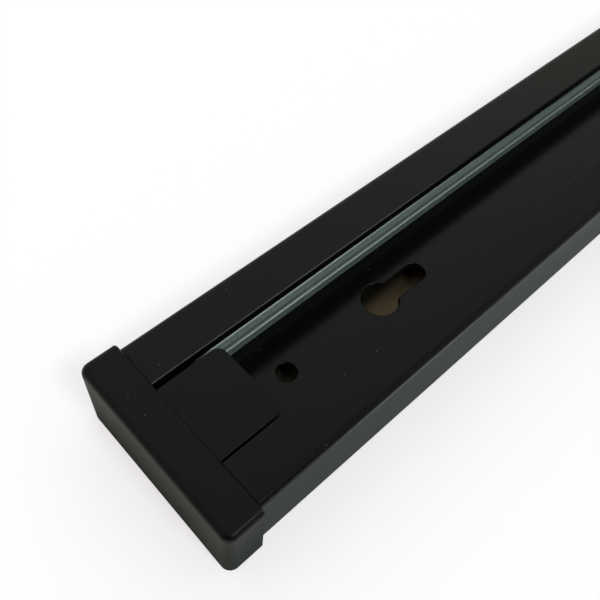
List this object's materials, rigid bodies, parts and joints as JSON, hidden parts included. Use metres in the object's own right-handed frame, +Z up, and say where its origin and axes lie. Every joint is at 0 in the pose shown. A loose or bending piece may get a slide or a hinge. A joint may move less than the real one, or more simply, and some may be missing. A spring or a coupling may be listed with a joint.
{
  "type": "lighting track",
  "caption": "Black surface lighting track: a long channel with a slot between two lips, an insulated contact strip along each side, keyholes in its floor and a plug-in cap on each end.",
  "frame": {"origin": "middle of the track's length and width, on the plane that its back rests on", "axes": "+X along the track away from the near cap, +Z up out of the slot, +Y to the left seen from the near end"},
  "size_m": [1.0148, 0.038, 0.016],
  "materials": {
    "black_aluminium": "satin",
    "insulator_plastic": "matte",
    "plated_strip": "satin",
    "cap_plastic": "satin"
  },
  "bodies": {
    "root": {"track_body": "black_aluminium", "insulator_left": "insulator_plastic", "insulator_right": "insulator_plastic", "conductor_left": "plated_strip", "conductor_right": "plated_strip", "end_cap_near": "cap_plastic", "end_cap_far": "cap_plastic"}
  },
  "joints": []
}
